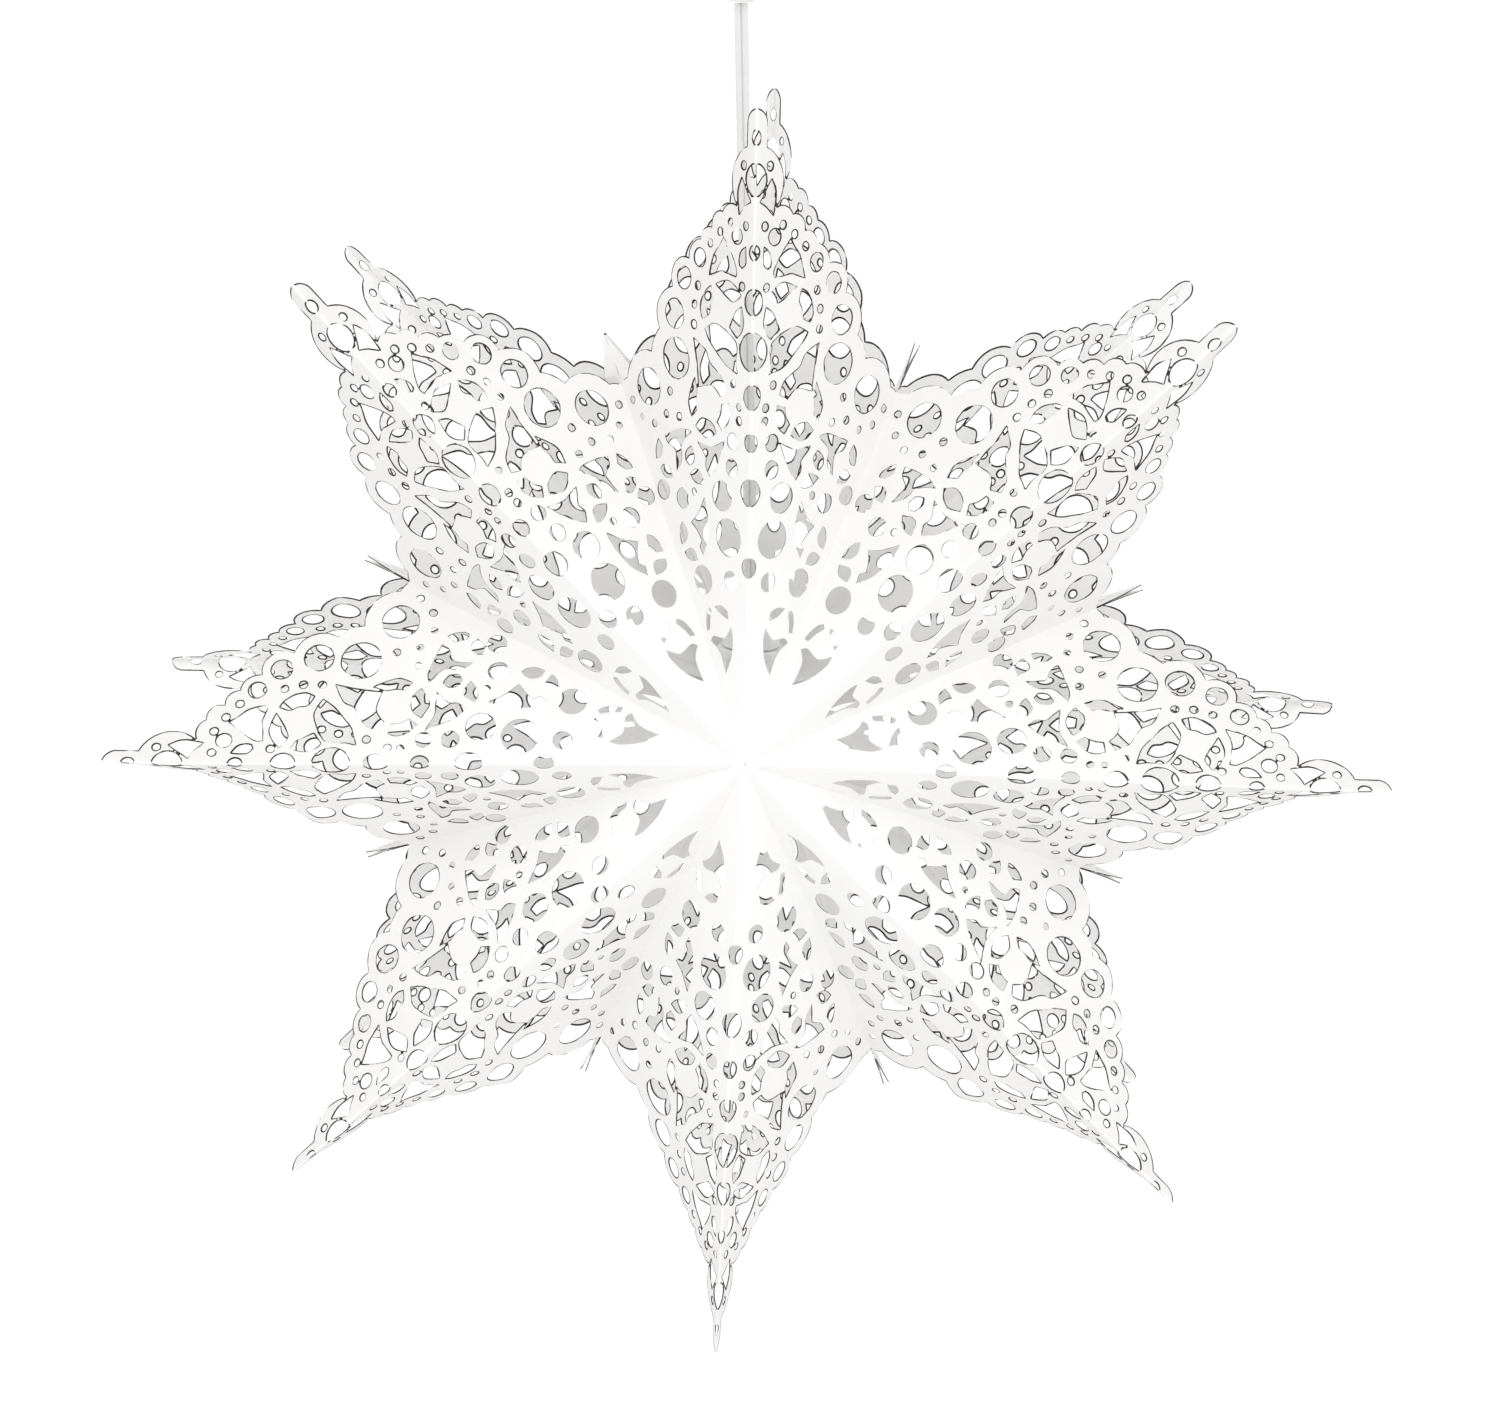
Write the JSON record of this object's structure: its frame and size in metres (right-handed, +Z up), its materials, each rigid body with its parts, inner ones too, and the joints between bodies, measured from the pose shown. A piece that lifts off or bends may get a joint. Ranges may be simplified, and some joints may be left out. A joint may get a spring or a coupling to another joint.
{
  "type": "folding paper star lantern",
  "caption": "Pointed star lantern of lace-cut white card, hung by its lamp cord, that folds flat round its axis.",
  "frame": {"origin": "centre of the star, on its axis and in its middle plane", "axes": "+Z up along the north point, +Y along the star axis from the front face to the back, +X to the right seen from the front"},
  "size_m": [0.5994, 0.174, 0.6605],
  "materials": {
    "lace_card": "matt die-cut white card",
    "flap_card": "matt white card, glued face",
    "closure_felt": "hook and loop pad",
    "steel_wire": "plain",
    "white_plastic": "satin moulded",
    "frosted_glass": "frosted",
    "cord_sheath": "smooth flexible sheath"
  },
  "bodies": {
    "lamp": {"hanger_wire": "steel_wire", "lamp_holder": "white_plastic", "holder_cap": "white_plastic", "shade_ring": "white_plastic", "bulb_base": "steel_wire", "bulb_glass": "frosted_glass", "lamp_cord": "cord_sheath", "cord_grip": "white_plastic"},
    "north_closing_seam": {"north_front_closing_flap": "flap_card", "north_back_closing_flap": "flap_card", "hook_pad": "closure_felt"},
    "north_northeast_seam": {"north_northeast_front_seam": "flap_card", "north_northeast_back_seam": "flap_card"},
    "northeast_east_seam": {"northeast_east_front_seam": "flap_card", "northeast_east_back_seam": "flap_card"},
    "east_southeast_seam": {"east_southeast_front_seam": "flap_card", "east_southeast_back_seam": "flap_card"},
    "southeast_south_seam": {"southeast_south_front_seam": "flap_card", "southeast_south_back_seam": "flap_card"},
    "south_southwest_seam": {"south_southwest_front_seam": "flap_card", "south_southwest_back_seam": "flap_card"},
    "southwest_west_seam": {"southwest_west_front_seam": "flap_card", "southwest_west_back_seam": "flap_card"},
    "west_northwest_seam": {"west_northwest_front_seam": "flap_card", "west_northwest_back_seam": "flap_card"},
    "northwest_closing_seam": {"northwest_front_closing_flap": "flap_card", "northwest_back_closing_flap": "flap_card", "loop_pad": "closure_felt"},
    "north_front_left": {"north_front_left_panel": "lace_card"},
    "north_front_right": {"north_front_right_panel": "lace_card"},
    "north_back_left": {"north_back_left_panel": "lace_card"},
    "north_back_right": {"north_back_right_panel": "lace_card"},
    "northeast_front_left": {"northeast_front_left_panel": "lace_card"},
    "northeast_front_right": {"northeast_front_right_panel": "lace_card"},
    "northeast_back_left": {"northeast_back_left_panel": "lace_card"},
    "northeast_back_right": {"northeast_back_right_panel": "lace_card"},
    "east_front_left": {"east_front_left_panel": "lace_card"},
    "east_front_right": {"east_front_right_panel": "lace_card"},
    "east_back_left": {"east_back_left_panel": "lace_card"},
    "east_back_right": {"east_back_right_panel": "lace_card"},
    "southeast_front_left": {"southeast_front_left_panel": "lace_card"},
    "southeast_front_right": {"southeast_front_right_panel": "lace_card"},
    "southeast_back_left": {"southeast_back_left_panel": "lace_card"},
    "southeast_back_right": {"southeast_back_right_panel": "lace_card"},
    "south_front_left": {"south_front_left_panel": "lace_card"},
    "south_front_right": {"south_front_right_panel": "lace_card"},
    "south_back_left": {"south_back_left_panel": "lace_card"},
    "south_back_right": {"south_back_right_panel": "lace_card"},
    "southwest_front_left": {"southwest_front_left_panel": "lace_card"},
    "southwest_front_right": {"southwest_front_right_panel": "lace_card"},
    "southwest_back_left": {"southwest_back_left_panel": "lace_card"},
    "southwest_back_right": {"southwest_back_right_panel": "lace_card"},
    "west_front_left": {"west_front_left_panel": "lace_card"},
    "west_front_right": {"west_front_right_panel": "lace_card"},
    "west_back_left": {"west_back_left_panel": "lace_card"},
    "west_back_right": {"west_back_right_panel": "lace_card"},
    "northwest_front_left": {"northwest_front_left_panel": "lace_card"},
    "northwest_front_right": {"northwest_front_right_panel": "lace_card"},
    "northwest_back_left": {"northwest_back_left_panel": "lace_card"},
    "northwest_back_right": {"northwest_back_right_panel": "lace_card"}
  },
  "joints": [
    {"name": "north_closing_seam_turn", "type": "hinge", "parent": "lamp", "child": "north_closing_seam", "pos_m": [0, 0, 0], "axis": [0, -1, 0], "range_deg": [-19, 0]},
    {"name": "north_northeast_seam_turn", "type": "hinge", "parent": "lamp", "child": "north_northeast_seam", "pos_m": [0, 0, 0], "axis": [0, -1, 0], "range_deg": [0, 19]},
    {"name": "northeast_east_seam_turn", "type": "hinge", "parent": "lamp", "child": "northeast_east_seam", "pos_m": [0, 0, 0], "axis": [0, -1, 0], "range_deg": [0, 57]},
    {"name": "east_southeast_seam_turn", "type": "hinge", "parent": "lamp", "child": "east_southeast_seam", "pos_m": [0, 0, 0], "axis": [0, -1, 0], "range_deg": [0, 95]},
    {"name": "southeast_south_seam_turn", "type": "hinge", "parent": "lamp", "child": "southeast_south_seam", "pos_m": [0, 0, 0], "axis": [0, -1, 0], "range_deg": [0, 133]},
    {"name": "south_southwest_seam_turn", "type": "hinge", "parent": "lamp", "child": "south_southwest_seam", "pos_m": [0, 0, 0], "axis": [0, -1, 0], "range_deg": [0, 171]},
    {"name": "southwest_west_seam_turn", "type": "hinge", "parent": "lamp", "child": "southwest_west_seam", "pos_m": [0, 0, 0], "axis": [0, -1, 0], "range_deg": [0, 209]},
    {"name": "west_northwest_seam_turn", "type": "hinge", "parent": "lamp", "child": "west_northwest_seam", "pos_m": [0, 0, 0], "axis": [0, -1, 0], "range_deg": [0, 247]},
    {"name": "fan_fold", "type": "hinge", "parent": "lamp", "child": "northwest_closing_seam", "pos_m": [0, 0, 0], "axis": [0, -1, 0], "range_deg": [0, 285]},
    {"name": "north_front_left_crease", "type": "hinge", "parent": "north_closing_seam", "child": "north_front_left", "pos_m": [0, -0.0764, 0], "axis": [0.3584, -0.3509, -0.8651], "range_deg": [0, 41]},
    {"name": "north_front_right_crease", "type": "hinge", "parent": "north_northeast_seam", "child": "north_front_right", "pos_m": [0, -0.0764, 0], "axis": [0.3584, 0.3509, 0.8651], "range_deg": [0, 41]},
    {"name": "north_back_left_crease", "type": "hinge", "parent": "north_closing_seam", "child": "north_back_left", "pos_m": [0, 0.0764, 0], "axis": [-0.3584, -0.3509, 0.8651], "range_deg": [0, 41]},
    {"name": "north_back_right_crease", "type": "hinge", "parent": "north_northeast_seam", "child": "north_back_right", "pos_m": [0, 0.0764, 0], "axis": [-0.3584, 0.3509, -0.8651], "range_deg": [0, 41]},
    {"name": "northeast_front_left_crease", "type": "hinge", "parent": "north_northeast_seam", "child": "northeast_front_left", "pos_m": [0, -0.0764, 0], "axis": [-0.3584, -0.3509, -0.8651], "range_deg": [0, 41]},
    {"name": "northeast_front_right_crease", "type": "hinge", "parent": "northeast_east_seam", "child": "northeast_front_right", "pos_m": [0, -0.0764, 0], "axis": [0.8651, 0.3509, 0.3584], "range_deg": [0, 41]},
    {"name": "northeast_back_left_crease", "type": "hinge", "parent": "north_northeast_seam", "child": "northeast_back_left", "pos_m": [0, 0.0764, 0], "axis": [0.3584, -0.3509, 0.8651], "range_deg": [0, 41]},
    {"name": "northeast_back_right_crease", "type": "hinge", "parent": "northeast_east_seam", "child": "northeast_back_right", "pos_m": [0, 0.0764, 0], "axis": [-0.8651, 0.3509, -0.3584], "range_deg": [0, 41]},
    {"name": "east_front_left_crease", "type": "hinge", "parent": "northeast_east_seam", "child": "east_front_left", "pos_m": [0, -0.0764, 0], "axis": [-0.8651, -0.3509, -0.3584], "range_deg": [0, 41]},
    {"name": "east_front_right_crease", "type": "hinge", "parent": "east_southeast_seam", "child": "east_front_right", "pos_m": [0, -0.0764, 0], "axis": [0.8651, 0.3509, -0.3584], "range_deg": [0, 41]},
    {"name": "east_back_left_crease", "type": "hinge", "parent": "northeast_east_seam", "child": "east_back_left", "pos_m": [0, 0.0764, 0], "axis": [0.8651, -0.3509, 0.3584], "range_deg": [0, 41]},
    {"name": "east_back_right_crease", "type": "hinge", "parent": "east_southeast_seam", "child": "east_back_right", "pos_m": [0, 0.0764, 0], "axis": [-0.8651, 0.3509, 0.3584], "range_deg": [0, 41]},
    {"name": "southeast_front_left_crease", "type": "hinge", "parent": "east_southeast_seam", "child": "southeast_front_left", "pos_m": [0, -0.0764, 0], "axis": [-0.8651, -0.3509, 0.3584], "range_deg": [0, 41]},
    {"name": "southeast_front_right_crease", "type": "hinge", "parent": "southeast_south_seam", "child": "southeast_front_right", "pos_m": [0, -0.0764, 0], "axis": [0.3584, 0.3509, -0.8651], "range_deg": [0, 41]},
    {"name": "southeast_back_left_crease", "type": "hinge", "parent": "east_southeast_seam", "child": "southeast_back_left", "pos_m": [0, 0.0764, 0], "axis": [0.8651, -0.3509, -0.3584], "range_deg": [0, 41]},
    {"name": "southeast_back_right_crease", "type": "hinge", "parent": "southeast_south_seam", "child": "southeast_back_right", "pos_m": [0, 0.0764, 0], "axis": [-0.3584, 0.3509, 0.8651], "range_deg": [0, 41]},
    {"name": "south_front_left_crease", "type": "hinge", "parent": "southeast_south_seam", "child": "south_front_left", "pos_m": [0, -0.0764, 0], "axis": [-0.3584, -0.3509, 0.8651], "range_deg": [0, 41]},
    {"name": "south_front_right_crease", "type": "hinge", "parent": "south_southwest_seam", "child": "south_front_right", "pos_m": [0, -0.0764, 0], "axis": [-0.3584, 0.3509, -0.8651], "range_deg": [0, 41]},
    {"name": "south_back_left_crease", "type": "hinge", "parent": "southeast_south_seam", "child": "south_back_left", "pos_m": [0, 0.0764, 0], "axis": [0.3584, -0.3509, -0.8651], "range_deg": [0, 41]},
    {"name": "south_back_right_crease", "type": "hinge", "parent": "south_southwest_seam", "child": "south_back_right", "pos_m": [0, 0.0764, 0], "axis": [0.3584, 0.3509, 0.8651], "range_deg": [0, 41]},
    {"name": "southwest_front_left_crease", "type": "hinge", "parent": "south_southwest_seam", "child": "southwest_front_left", "pos_m": [0, -0.0764, 0], "axis": [0.3584, -0.3509, 0.8651], "range_deg": [0, 41]},
    {"name": "southwest_front_right_crease", "type": "hinge", "parent": "southwest_west_seam", "child": "southwest_front_right", "pos_m": [0, -0.0764, 0], "axis": [-0.8651, 0.3509, -0.3584], "range_deg": [0, 41]},
    {"name": "southwest_back_left_crease", "type": "hinge", "parent": "south_southwest_seam", "child": "southwest_back_left", "pos_m": [0, 0.0764, 0], "axis": [-0.3584, -0.3509, -0.8651], "range_deg": [0, 41]},
    {"name": "southwest_back_right_crease", "type": "hinge", "parent": "southwest_west_seam", "child": "southwest_back_right", "pos_m": [0, 0.0764, 0], "axis": [0.8651, 0.3509, 0.3584], "range_deg": [0, 41]},
    {"name": "west_front_left_crease", "type": "hinge", "parent": "southwest_west_seam", "child": "west_front_left", "pos_m": [0, -0.0764, 0], "axis": [0.8651, -0.3509, 0.3584], "range_deg": [0, 41]},
    {"name": "west_front_right_crease", "type": "hinge", "parent": "west_northwest_seam", "child": "west_front_right", "pos_m": [0, -0.0764, 0], "axis": [-0.8651, 0.3509, 0.3584], "range_deg": [0, 41]},
    {"name": "west_back_left_crease", "type": "hinge", "parent": "southwest_west_seam", "child": "west_back_left", "pos_m": [0, 0.0764, 0], "axis": [-0.8651, -0.3509, -0.3584], "range_deg": [0, 41]},
    {"name": "west_back_right_crease", "type": "hinge", "parent": "west_northwest_seam", "child": "west_back_right", "pos_m": [0, 0.0764, 0], "axis": [0.8651, 0.3509, -0.3584], "range_deg": [0, 41]},
    {"name": "northwest_front_left_crease", "type": "hinge", "parent": "west_northwest_seam", "child": "northwest_front_left", "pos_m": [0, -0.0764, 0], "axis": [0.8651, -0.3509, -0.3584], "range_deg": [0, 41]},
    {"name": "northwest_front_right_crease", "type": "hinge", "parent": "northwest_closing_seam", "child": "northwest_front_right", "pos_m": [0, -0.0764, 0], "axis": [-0.3584, 0.3509, 0.8651], "range_deg": [0, 41]},
    {"name": "northwest_back_left_crease", "type": "hinge", "parent": "west_northwest_seam", "child": "northwest_back_left", "pos_m": [0, 0.0764, 0], "axis": [-0.8651, -0.3509, 0.3584], "range_deg": [0, 41]},
    {"name": "northwest_back_right_crease", "type": "hinge", "parent": "northwest_closing_seam", "child": "northwest_back_right", "pos_m": [0, 0.0764, 0], "axis": [0.3584, 0.3509, -0.8651], "range_deg": [0, 41]}
  ],
  "couplings": [
    {"joint": "north_closing_seam_turn", "follows": "fan_fold", "ratio": -0.066667},
    {"joint": "north_northeast_seam_turn", "follows": "fan_fold", "ratio": 0.066667},
    {"joint": "northeast_east_seam_turn", "follows": "fan_fold", "ratio": 0.2},
    {"joint": "east_southeast_seam_turn", "follows": "fan_fold", "ratio": 0.33333},
    {"joint": "southeast_south_seam_turn", "follows": "fan_fold", "ratio": 0.46667},
    {"joint": "south_southwest_seam_turn", "follows": "fan_fold", "ratio": 0.6},
    {"joint": "southwest_west_seam_turn", "follows": "fan_fold", "ratio": 0.73333},
    {"joint": "west_northwest_seam_turn", "follows": "fan_fold", "ratio": 0.86667},
    {"joint": "north_front_left_crease", "follows": "fan_fold", "ratio": 0.14386},
    {"joint": "north_front_right_crease", "follows": "fan_fold", "ratio": 0.14386},
    {"joint": "north_back_left_crease", "follows": "fan_fold", "ratio": 0.14386},
    {"joint": "north_back_right_crease", "follows": "fan_fold", "ratio": 0.14386},
    {"joint": "northeast_front_left_crease", "follows": "fan_fold", "ratio": 0.14386},
    {"joint": "northeast_front_right_crease", "follows": "fan_fold", "ratio": 0.14386},
    {"joint": "northeast_back_left_crease", "follows": "fan_fold", "ratio": 0.14386},
    {"joint": "northeast_back_right_crease", "follows": "fan_fold", "ratio": 0.14386},
    {"joint": "east_front_left_crease", "follows": "fan_fold", "ratio": 0.14386},
    {"joint": "east_front_right_crease", "follows": "fan_fold", "ratio": 0.14386},
    {"joint": "east_back_left_crease", "follows": "fan_fold", "ratio": 0.14386},
    {"joint": "east_back_right_crease", "follows": "fan_fold", "ratio": 0.14386},
    {"joint": "southeast_front_left_crease", "follows": "fan_fold", "ratio": 0.14386},
    {"joint": "southeast_front_right_crease", "follows": "fan_fold", "ratio": 0.14386},
    {"joint": "southeast_back_left_crease", "follows": "fan_fold", "ratio": 0.14386},
    {"joint": "southeast_back_right_crease", "follows": "fan_fold", "ratio": 0.14386},
    {"joint": "south_front_left_crease", "follows": "fan_fold", "ratio": 0.14386},
    {"joint": "south_front_right_crease", "follows": "fan_fold", "ratio": 0.14386},
    {"joint": "south_back_left_crease", "follows": "fan_fold", "ratio": 0.14386},
    {"joint": "south_back_right_crease", "follows": "fan_fold", "ratio": 0.14386},
    {"joint": "southwest_front_left_crease", "follows": "fan_fold", "ratio": 0.14386},
    {"joint": "southwest_front_right_crease", "follows": "fan_fold", "ratio": 0.14386},
    {"joint": "southwest_back_left_crease", "follows": "fan_fold", "ratio": 0.14386},
    {"joint": "southwest_back_right_crease", "follows": "fan_fold", "ratio": 0.14386},
    {"joint": "west_front_left_crease", "follows": "fan_fold", "ratio": 0.14386},
    {"joint": "west_front_right_crease", "follows": "fan_fold", "ratio": 0.14386},
    {"joint": "west_back_left_crease", "follows": "fan_fold", "ratio": 0.14386},
    {"joint": "west_back_right_crease", "follows": "fan_fold", "ratio": 0.14386},
    {"joint": "northwest_front_left_crease", "follows": "fan_fold", "ratio": 0.14386},
    {"joint": "northwest_front_right_crease", "follows": "fan_fold", "ratio": 0.14386},
    {"joint": "northwest_back_left_crease", "follows": "fan_fold", "ratio": 0.14386},
    {"joint": "northwest_back_right_crease", "follows": "fan_fold", "ratio": 0.14386}
  ]
}
